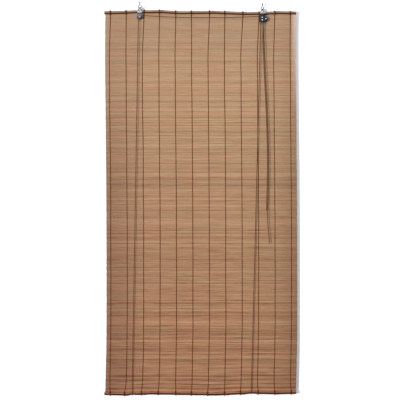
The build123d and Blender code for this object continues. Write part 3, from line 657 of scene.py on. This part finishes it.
def laid_material(name, raised, hollow_shade, roughness):
    """Twisted fibre: painted shade between the strands, with fine fibres along them."""
    material, shader, add, join = nodes_of(name, roughness)
    shader.inputs["Specular IOR Level"].default_value = 0.03
    along = maths(add, "MULTIPLY", attribute(add, "along"), 2600.0)
    strand = attribute(add, "strand")
    over_strand = maths(add, "MULTIPLY", strand, 40.0)
    hair_place = add("ShaderNodeCombineXYZ", {"X": along, "Y": over_strand}).outputs[0]
    hairs = add("ShaderNodeTexNoise", {"Vector": hair_place, "Scale": 0.7, "Detail": 3.0}).outputs[0]
    depth = add("ShaderNodeMapRange", {"Value": strand, "From Min": -0.12, "From Max": 0.12}).outputs[0]
    # Painted shade in the hollows between the strands.
    shade = blended(add, depth, hollow_shade, raised)
    hairy = ramp(add, hairs, (0.3, (0.72, 0.7, 0.7, 1)), (0.7, (1.15, 1.12, 1.1, 1)))
    shade = blended(add, 0.5, shade, hairy, "MULTIPLY")
    join(shade, shader.inputs["Base Color"])
    bumped(add, join, shader, hairs, 0.0002)
    return material


def route_curve(name, *routes, cyclic=False):
    """Smooth lines whose control points are the routes' points."""
    curve = bpy.data.curves.new(name, "CURVE")
    curve.dimensions = "3D"
    for points in routes:
        spline = curve.splines.new("NURBS")
        spline.points.add(len(points) - 1)
        for point, place in zip(spline.points, points):
            point.co = (*place, 1)
        spline.order_u = 3
        spline.use_endpoint_u = not cyclic
        spline.use_cyclic_u = cyclic
        spline.resolution_u = 12
    return curve


def thread_turns(x, crooks, axis_z, radius, turns, spread):
    """Points of a thread wound round a cane at x, from in front of it, over it and on to its back."""
    steps = round(turns * 8)
    points = []
    for step in range(steps + 1):
        angle = pi + 2 * pi * turns * step / steps
        across = x + spread * (step / steps - 0.5)
        middle = axis_z + smooth_rise(crooks, across)
        points.append((across, radius * cos(angle), middle - radius * sin(angle)))
    return points


def sway_at(share):
    """How far to the right the mat hangs at a share of its height below its top."""
    for (share0, sway0), (share1, sway1) in zip(SWAY, SWAY[1:]):
        if share <= share1:
            return sway0 + (sway1 - sway0) * (share - share0) / (share1 - share0)
    return SWAY[-1][1]


def warp_route(x, top_x, low_x, wander):
    """Down the back, over the top cane in two and a half turns, and down the front."""
    fuller = fullness(top_x, HELD_TOP)
    top_cane = fuller + THICK_CANE_RADIUS
    top_cane += (THIN_CANE_RADIUS - THICK_CANE_RADIUS) * (x + HALF_RAIL) / RAIL_LENGTH
    wound = WOUND_LOOSE * (top_cane + THREAD_RADIUS)
    low = ROD_Z + smooth_rise(BOTTOM_CROOKS, x) + THICK_CANE_RADIUS + 0.0012
    high = MAT_TOP - 0.008
    runs = []
    for side in (-1, 1):
        run = [(top_x, side * THREAD_Y, high)]
        for step in range(1, 24):
            share = 0.05 + 0.935 * step / 23
            off = sway_at(share) + wander.uniform(-0.0007, 0.0007)
            run.append((x + off, side * THREAD_Y, high + share * (low - high)))
        runs.append([*run, (low_x, side * THREAD_Y, low)])
    over = thread_turns(top_x, TOP_CROOKS, RAIL_Z + fuller, wound, 2.5, 0.0044)
    return [*reversed(runs[0]), *over, *runs[1]]


# The second colour is the painted shade between the strands.
thread_material = laid_material("dark_warp_thread", colour(108, 48, 20), colour(64, 24, 8), 0.9)
laid = laid_tree()
THREAD_SIZES = {
    "Radius": THREAD_RADIUS,
    "Twist": THREAD_TWIST,
    "Step": 0.0022,
    "Lobe": 0.14,
    "Sides": 6,
    "Material": thread_material,
}
thread_wander = random.Random(12)
thread_places = [THREAD_INSET - MAT_WIDTH / 2 + number * THREAD_PITCH for number in range(THREAD_COUNT)]
# Millimetres to the right of its even place at which each thread is tied to the two canes
TOP_TIES = [-1, -4, 2, -2, -3, -6, 1, -4, 3, 2, -1, -5]
LOW_TIES = [-2, -11, -9, -8, -3, -6, -7, -5, -7, -2, -1, -1]
low_places = []
for number, thread_x in enumerate(thread_places):
    name = f"warp_thread_{number + 1:02d}"
    top_x = thread_x + 0.001 * TOP_TIES[number]
    low_places.append(thread_x + 0.001 * LOW_TIES[number])
    route = warp_route(thread_x, top_x, low_places[-1], thread_wander)
    warp = grown(name, route_curve(name, route), laid, THREAD_SIZES)
    warp_piece = piece_from(f"twisted_{name}", warp, thread_material, "frame", "thread", name)
    shortens(warp_piece)


# Bottom ties: each warp thread ends in three turns round the bottom cane, which ride on it when
# the blind is lifted.
tie_routes = []
for thread_x in low_places:
    fuller = fullness(thread_x, HELD_BOTTOM)
    bottom_cane = THIN_CANE_RADIUS
    bottom_cane += (THICK_CANE_RADIUS - THIN_CANE_RADIUS) * (thread_x + HALF_RAIL) / RAIL_LENGTH
    bottom_cane += fuller
    wound = WOUND_LOOSE * (bottom_cane + THREAD_RADIUS)
    tie_routes.append(thread_turns(thread_x, BOTTOM_CROOKS, ROD_Z - fuller, wound, 3, 0.0048))
tie_mesh = grown("bottom_tie_turns", route_curve("ties", *tie_routes), laid, THREAD_SIZES)
piece_from("bottom_tie_turns", tie_mesh, thread_material, "bottom_rail", "thread", "bottom_ties")


# Screw hooks: dull dark wire with a cut thread and a point above, bent into an open ring below,
# from which a hanger hangs.
WIRE_RADIUS = 0.0015
SCREW_RADIUS = 0.0025
RING_RADIUS = 0.006
NECK_RADIUS = 0.004
RING_SWEEP = radians(305)
HANGER_RISE = 0.0225
SHANK = 0.0100
POINT = 0.004
SCREW_PITCH = 0.0013


def steel_material(name, bright, dull, roughness, speckle_size, metallic=1.0):
    """Plated or bare steel with cloudy wear and faint scratches."""
    material, shader, add, join = nodes_of(name, roughness, metallic)
    clouds = stretched_noise(add, (1, 1, 1), speckle_size, 5.0)
    scratches = stretched_noise(add, (40, 1200, 600), 1.0, 2.0)
    shade = ramp(add, clouds, (0.34, dull), (0.62, bright))
    join(shade, shader.inputs["Base Color"])
    smooth, coarse = (0.75 * roughness,) * 3 + (1,), (1.3 * roughness,) * 3 + (1,)
    join(ramp(add, scratches, (0.3, smooth), (0.7, coarse)), shader.inputs["Roughness"])
    bumped(add, join, shader, scratches, 0.00004)
    return material


dark_wire = steel_material("dull_screw_wire", colour(58, 58, 62), colour(16, 16, 18), 0.6, 500, 0.3)


def revolved(name, profile, around, ripple=None):
    """A turned mesh about Z from points (radius, height). ripple changes a radius by angle and height."""
    mesh = bmesh.new()
    rings = []
    for radius, height in profile:
        ring = []
        for step in range(around):
            angle = 2 * pi * step / around
            reach = radius + (ripple(angle, height, radius) if ripple else 0)
            ring.append(mesh.verts.new((reach * cos(angle), reach * sin(angle), height)))
        rings.append(ring)
    for ring, following in zip(rings, rings[1:]):
        for step in range(around):
            after = (step + 1) % around
            mesh.faces.new((ring[step], ring[after], following[after], following[step]))
    if profile[0] != profile[-1]:
        mesh.faces.new(rings[0])
        mesh.faces.new(rings[-1])
    bmesh.ops.remove_doubles(mesh, verts=mesh.verts, dist=1e-7)
    bmesh.ops.recalc_face_normals(mesh, faces=mesh.faces)
    data = bpy.data.meshes.new(name)
    mesh.to_mesh(data)
    mesh.free()
    return data


def wire_hook(side, hook_x):
    ring_z = RAIL_Z + HANGER_RISES[side] + HANGER_RISE
    both = NECK_RADIUS + RING_RADIUS
    neck_angle = acos(NECK_RADIUS / both)
    neck_top = ring_z + both * sin(neck_angle)
    bends = [(0, neck_top + 0.002)]
    for step in range(6):
        at = neck_angle * step / 6
        bends.append((NECK_RADIUS * (cos(at) - 1), neck_top - NECK_RADIUS * sin(at)))
    for step in range(29):
        at = pi - neck_angle + RING_SWEEP * step / 28
        bends.append((RING_RADIUS * cos(at), ring_z + RING_RADIUS * sin(at)))
    curve = bpy.data.curves.new(f"{side}_hook", "CURVE")
    curve.dimensions = "3D"
    spline = curve.splines.new("POLY")
    spline.points.add(len(bends) - 1)
    for point, (across, height) in zip(spline.points, bends):
        point.co = (hook_x + across, 0, height, 1)
    curve.bevel_depth = WIRE_RADIUS
    curve.bevel_resolution = 4
    curve.use_fill_caps = True
    bent = bpy.data.objects.new("bent", curve)
    mesh = bpy.data.meshes.new_from_object(bent)
    bpy.data.objects.remove(bent)
    top = neck_top + SHANK + POINT
    cut_from = neck_top + 0.004

    def cut(angle, height, radius):
        if height < cut_from or radius < 0.0004:
            return 0
        along = ((height - cut_from) / SCREW_PITCH - angle / (2 * pi)) % 1
        return -0.00042 * min(1, abs(2 * along - 1) * 1.6) * min(1, (height - cut_from) / SCREW_PITCH)

    steps = 70
    profile = [(WIRE_RADIUS, neck_top + 0.0009)]
    for step in range(steps + 1):
        height = neck_top + 0.001 + (top - neck_top - 0.001) * step / steps
        taper = min(1.0, max(0.0, top - height) / POINT)
        profile.append((max(0.0002, SCREW_RADIUS * taper ** 0.5), height))
    screw = revolved("screw", profile, 20, cut)
    screw.transform(Matrix.Translation((hook_x, 0, 0)))
    both_parts = bmesh.new()
    both_parts.from_mesh(mesh)
    both_parts.from_mesh(screw)
    both_parts.to_mesh(mesh)
    both_parts.free()
    node = f"{side}_screw_hook"
    return piece_from(f"{node}_wire", mesh, dark_wire, "frame", "bright_steel", node)


wire_hook("left", -HOOK_X)
wire_hook("right", HOOK_X)


# Hangers: galvanised strip, folded over the hook's ring and round the top cane, with a tongue in
# front that holds the pulley or the lock, and an ear behind for the cord's knot.
FOLD_RISES = {"left": 0.020, "right": 0.023}


def strip_material(side):
    """Galvanised strip with painted light and shade by height: painted shade, black, at the fold, painted
    light on top of the cane, painted shade below it.
    """
    material = steel_material(
        f"galvanised_{side}_strip", colour(204, 202, 206), colour(44, 44, 50), 0.45, 260, 0.5
    )
    tree = material.node_tree
    shader = tree.nodes["Principled BSDF"]
    worn = shader.inputs["Base Color"].links[0].from_socket
    fold_z = RAIL_Z + HANGER_RISES[side] + FOLD_RISES[side]
    add = adder(tree)
    place = add("ShaderNodeTexCoord").outputs["Object"]
    height = add("ShaderNodeSeparateXYZ", {0: place}).outputs["Z"]
    above = add(
        "ShaderNodeMapRange", {"Value": height, "From Min": fold_z - 0.030, "From Max": fold_z}
    ).outputs[0]
    # Painted shade inside the fold and under the cane, and painted light on the strip's upper wrap.
    painted_light_and_shade = ramp(
        add,
        above,
        (0.10, (0.03, 0.033, 0.04, 1)),
        (0.20, (0.34, 0.35, 0.40, 1)),
        (0.30, (1, 1, 1, 1)),
        (0.42, (1, 1, 1, 1)),
        (0.50, (0.5, 0.5, 0.52, 1)),
        (0.60, (0.2, 0.2, 0.21, 1)),
        (0.70, (0.01, 0.01, 0.01, 1)),
    )
    tree.links.new(blended(add, 1.0, worn, painted_light_and_shade, "MULTIPLY"), shader.inputs["Base Color"])
    return material


def eased(node, material, body, finish_slot, edge):
    """A pressed or moulded part with its sharp edges eased, in place of the plain one."""
    mesh = bmesh.new()
    mesh.from_mesh(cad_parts[node].data)
    bmesh.ops.remove_doubles(mesh, verts=mesh.verts, dist=1e-6)
    bmesh.ops.dissolve_limit(mesh, angle_limit=radians(2), verts=mesh.verts, edges=mesh.edges)
    data = bpy.data.meshes.new(node)
    mesh.to_mesh(data)
    mesh.free()
    worn = bpy.data.objects.new("worn", data)
    bpy.context.collection.objects.link(worn)
    bevel = worn.modifiers.new("edge", "BEVEL")
    bevel.width = edge
    bevel.segments = 2
    bevel.limit_method = "ANGLE"
    bevel.angle_limit = radians(35)
    finished = bpy.data.meshes.new_from_object(worn.evaluated_get(bpy.context.evaluated_depsgraph_get()))
    bpy.data.objects.remove(worn)
    piece = piece_from(f"eased_{node}", finished, material, body, finish_slot, node)
    finished.set_sharp_from_angle(angle=radians(40))
    return piece


for side in ("left", "right"):
    eased(f"{side}_hanger", strip_material(side), "frame", "galvanised_steel", 0.0002)


# Left pulley: a folded blue-grey case, a grooved black wheel and a dull riveted axle.
bright_steel = steel_material(
    "bright_rivet_steel", colour(214, 214, 222), colour(150, 152, 160), 0.3, 500, 0.6
)
dull_steel = steel_material("dull_rivet_steel", colour(160, 160, 168), colour(96, 98, 106), 0.45, 500, 0.4)
blue_grey = steel_material("blue_grey_enamel", colour(86, 88, 104), colour(46, 48, 62), 0.45, 320, 0.2)


def moulded_material(name, body_colour, scuffed, roughness):
    """Black moulding with a fine grain, paler where it is handled."""
    material, shader, add, join = nodes_of(name, roughness)
    shader.inputs["Specular IOR Level"].default_value = 0.25
    grain = stretched_noise(add, (1, 1, 1), 2400, 3.0)
    scuffs = stretched_noise(add, (1, 1, 1), 160, 6.0)
    join(ramp(add, scuffs, (0.50, body_colour), (0.78, scuffed)), shader.inputs["Base Color"])
    bumped(add, join, shader, grain, 0.00005)
    return material


black_moulding = moulded_material("black_moulding", colour(11, 11, 15), colour(30, 30, 42), 0.5)
eased("left_pulley_case", blue_grey, "frame", "grey_steel", 0.00022)
eased("left_wheel", black_moulding, "left_wheel", "black_plastic", 0.0002)
eased("left_axle", dull_steel, "frame", "bright_steel", 0.00015)


# Cord lock: two black plates, two rollers that carry both cords, and a toothed cam that bites
# them, on three riveted pins.
for plate in ("lock_back_plate", "lock_front_plate"):
    eased(plate, black_moulding, "frame", "black_plastic", 0.00025)
for turning in ("lock_upper_roller", "lock_lower_roller", "lock_cam"):
    eased(turning, black_moulding, turning, "black_plastic", 0.00012)
for pin in ("lock_upper_pin", "lock_lower_pin", "lock_cam_pin"):
    eased(pin, bright_steel, "frame", "bright_steel", 0.00015)


# Cords: two brown laid cords. Each runs from its knot on a hanger's ear down behind the mat,
# under the bottom cane, up in front, over its pulley and down as a pull cord.
CORD_RADIUS = 0.0014
# The second colour is the painted shade between the strands.
cord_material = laid_material("brown_laid_cord", colour(108, 60, 42), colour(62, 32, 22), 0.9)
CORD_SIZES = {
    "Radius": CORD_RADIUS,
    "Twist": 0.0085,
    "Step": 0.0016,
    "Lobe": 0.10,
    "Sides": 9,
    "Material": cord_material,
}


def laid_cord(node, points, body):
    """One run of cord along its route."""
    curve = route_curve(node, points)
    line = bpy.data.objects.new("line", curve)
    thread = bpy.data.meshes.new_from_object(line)
    bpy.data.objects.remove(line)
    piece = piece_from(
        f"laid_{node}", grown(node, curve, laid, CORD_SIZES), cord_material, body, "cord", node
    )
    return piece


def between(start, end, shares):
    """Points on a straight run."""
    return [tuple(Vector(start).lerp(Vector(end), share)) for share in shares]


LEFT_AXLE = (-HOOK_X, -0.01147, -0.0545)
UPPER_ROLLER = (HOOK_X - 0.0015, -0.01199, -0.0575)
LEFT_BEND = 0.0052
LOCK_BEND = 0.0051
LEFT_CORD_LOCK_Y = UPPER_ROLLER[1] - 0.00165
RIGHT_CORD_LOCK_Y = UPPER_ROLLER[1] + 0.00165
EARS = {"left": (-HOOK_X, 0.01167, -0.0322), "right": (HOOK_X, 0.01139, -0.0389)}
LOOP_TOP = {"left": -1.61801, "right": -1.61234}
LOOP_BEND = {"left": 0.00735, "right": 0.00760}
LOOP_DEPTH = 0.010
CORNER_ROOM = 1.3
CORD_TOP = {
    "left": (LEFT_AXLE[0] - LEFT_BEND, LEFT_AXLE[1], LEFT_AXLE[2]),
    "right": (UPPER_ROLLER[0] - LOCK_BEND, RIGHT_CORD_LOCK_Y, UPPER_ROLLER[2]),
}
for side in ("left", "right"):
    loop_x = LOOP_X[side]
    bend = LOOP_BEND[side]
    under = LOOP_TOP[side] - LOOP_DEPTH - bend
    low_front = (loop_x, -bend, LOOP_TOP[side])
    low_back = (loop_x, bend, LOOP_TOP[side])
    for name, top, low in (("back", EARS[side], low_back), ("front", CORD_TOP[side], low_front)):
        run = laid_cord(
            f"{side}_cord_{name}",
            between(top, low, (0, 0.25, 0.5, 0.75, 1)),
            "frame",
        )
        shortens(run)
    # The loop's corners stand out a little, so that the line clears the cane
    corner = CORNER_ROOM * bend
    loop_route = [low_front, (loop_x, -corner, under), (loop_x, corner, under), low_back]
    laid_cord(f"{side}_cord_loop", loop_route, "bottom_rail")

# The left cord crosses to the lock in a shallow sag: share of the way between the hooks, y,
# and drop below the rail's mean line
CROSSING = [
    (0.11, -0.0122, 0.0149),
    (0.27, -0.0128, 0.0189),
    (0.43, -0.0132, 0.0213),
    (0.59, -0.0135, 0.0217),
    (0.75, -0.0138, 0.0203),
    (0.934, LEFT_CORD_LOCK_Y, 0.0170),
]
# Both cords hang down from the lock in front of the mat: place right of the hook, y,
# and drop below the upper roller
LEFT_TAIL = [
    (0.0037, LEFT_CORD_LOCK_Y, 0.0265),
    (0.0054, -0.0148, 0.1025),
    (0.0112, -0.0142, 0.2385),
    (0.0192, -0.0134, 0.3865),
    (0.0244, -0.0127, 0.5525),
    (0.0246, -0.0121, 0.6775),
    (0.0204, -0.0116, 0.7925),
    (0.0222, -0.0114, 0.8725),
    (0.0306, -0.0115, 0.9435),
]
RIGHT_TAIL = [
    (0.0035, RIGHT_CORD_LOCK_Y, 0.0265),
    (0.0016, -0.0112, 0.0925),
    (0.0077, -0.0118, 0.2385),
    (0.0158, -0.0109, 0.3865),
    (0.0209, -0.0102, 0.5525),
    (0.0208, -0.0109, 0.6775),
    (0.0163, -0.0121, 0.8045),
]


def hanging(tail):
    return [(HOOK_X + right, y, UPPER_ROLLER[2] - drop) for right, y, drop in tail]


NEAR_PULLEY = 0.014
WHEEL_RISE = 0.00577
ROLLER_CLEARANCE = 0.0003
FIRST_DROP = 0.0006
over_wheel = LEFT_AXLE[2] + WHEEL_RISE
over_lock = UPPER_ROLLER[2] + LOCK_BEND + ROLLER_CLEARANCE
right_of_lock = UPPER_ROLLER[0] + LOCK_BEND
left_route = [
    CORD_TOP["left"],
    (LEFT_AXLE[0] - LEFT_BEND, LEFT_AXLE[1], over_wheel),
    (LEFT_AXLE[0] + NEAR_PULLEY, LEFT_AXLE[1], over_wheel - FIRST_DROP),
    *[(2 * HOOK_X * share - HOOK_X, y, RAIL_Z - drop) for share, y, drop in CROSSING],
    (right_of_lock - NEAR_PULLEY, LEFT_CORD_LOCK_Y, over_lock - FIRST_DROP),
    (right_of_lock, LEFT_CORD_LOCK_Y, over_lock),
    (right_of_lock, LEFT_CORD_LOCK_Y, over_lock - NEAR_PULLEY),
    *hanging(LEFT_TAIL),
]
laid_cord("left_pull_cord", left_route, "frame")
right_route = [
    CORD_TOP["right"],
    (UPPER_ROLLER[0] - LOCK_BEND, RIGHT_CORD_LOCK_Y, over_lock),
    (right_of_lock, RIGHT_CORD_LOCK_Y, over_lock),
    (right_of_lock, RIGHT_CORD_LOCK_Y, over_lock - NEAR_PULLEY),
    *hanging(RIGHT_TAIL),
]
laid_cord("right_pull_cord", right_route, "frame")


# Stopper knots: an overhand knot in each cord, drawn tight on top of the hanger's ear.
KNOT_SIZES = dict(CORD_SIZES, Radius=0.0013, Step=0.0007)
KNOT_REACH = 0.00095
KNOT_HEIGHT = 0.0027
KNOT_STEPS = 24
for side in ("left", "right"):
    ear = Vector(EARS[side])
    knot_points = []
    for step in range(KNOT_STEPS):
        at = 2 * pi * step / KNOT_STEPS
        across = KNOT_REACH * (sin(at) + 2 * sin(2 * at))
        deep = KNOT_REACH * (cos(at) - 2 * cos(2 * at))
        high = -1.5 * KNOT_REACH * sin(3 * at)
        knot_points.append(ear + Vector((across, deep, KNOT_HEIGHT + high)))
    knot = grown(f"{side}_knot", route_curve("knot", knot_points, cyclic=True), laid, KNOT_SIZES)
    node = f"{side}_cord_knot"
    piece_from(f"tight_{node}", knot, cord_material, "frame", "cord", node)


# Room: a pale floor and a white wall close behind, which catches the blind's shadow. The wall is
# clear from its back and to the light that falls on the back of the blind.
def stage_material(name, one_sided):
    material, shader, add, join = nodes_of(name, 0.9)
    output = material.node_tree.nodes["Material Output"]
    surface = add("ShaderNodeBsdfDiffuse", {"Color": (0.83, 0.83, 0.85, 1)})
    if one_sided:
        seen = add("ShaderNodeLightPath").outputs
        direct = maths(add, "MAXIMUM", seen["Is Camera Ray"], seen["Is Glossy Ray"])
        direct = maths(add, "MAXIMUM", direct, seen["Is Transmission Ray"])
        hidden = maths(add, "SUBTRACT", 1.0, direct)
        hidden = maths(add, "MAXIMUM", hidden, add("ShaderNodeNewGeometry").outputs["Backfacing"])
        clear = add("ShaderNodeBsdfTransparent")
        surface = add("ShaderNodeMixShader", {0: hidden, 1: surface.outputs[0], 2: clear.outputs[0]})
    join(surface.outputs[0], output.inputs["Surface"])
    material.node_tree.nodes.remove(shader)
    return material


WALL_Y = 0.0195
FLOOR_Z = -2.2
STAGE_REACH = 6.0
square = [(-STAGE_REACH, -STAGE_REACH), (STAGE_REACH, -STAGE_REACH)]
square += [(STAGE_REACH, STAGE_REACH), (-STAGE_REACH, STAGE_REACH)]
for name, corners, one_sided in (
    ("wall", [(x, WALL_Y, z) for x, z in square], True),
    ("floor", [(x, y, FLOOR_Z) for x, y in square], False),
):
    surface_mesh = bpy.data.meshes.new(name)
    surface_mesh.from_pydata(corners, [], [(0, 1, 2, 3)])
    surface_mesh.materials.append(stage_material(f"white_{name}", one_sided))
    stage_piece = bpy.data.objects.new(name, surface_mesh)
    bpy.context.collection.objects.link(stage_piece)


# Light: a small lamp in front, low and to the left, that throws the shadow on the wall, a broad
# fill above and in front, and a pale world that is seen as white.
def lamp(name, place, aim, size, power):
    light = bpy.data.lights.new(name, "AREA")
    light.shape = "DISK"
    light.size = size
    light.energy = power
    holder = bpy.data.objects.new(name, light)
    holder.location = place
    holder.rotation_euler = (Vector(aim) - Vector(place)).to_track_quat("-Z", "Y").to_euler()
    bpy.context.collection.objects.link(holder)


MIDDLE = (0, 0, -0.8)
ROOM_LIGHT = 0.335
lamp("key", (-4.6, -7.0, -0.9), MIDDLE, 0.4, 702)
lamp("fill", (0.4, -3.2, 1.4), MIDDLE, 2.0, 63)
world = bpy.data.worlds.new("pale_room")
bpy.context.scene.world = world
world.use_nodes = True
background = world.node_tree.nodes["Background"]
background.inputs["Color"].default_value = (1, 1, 1, 1)
add = adder(world.node_tree)
ray = add("ShaderNodeLightPath").outputs
seen_white = maths(add, "MAXIMUM", ray["Is Camera Ray"], ray["Is Transmission Ray"])
strength = add("ShaderNodeMapRange", {"Value": seen_white, "To Min": ROOM_LIGHT, "To Max": 1.0}).outputs[0]
world.node_tree.links.new(strength, background.inputs["Strength"])
bpy.context.scene.view_settings.view_transform = "Standard"
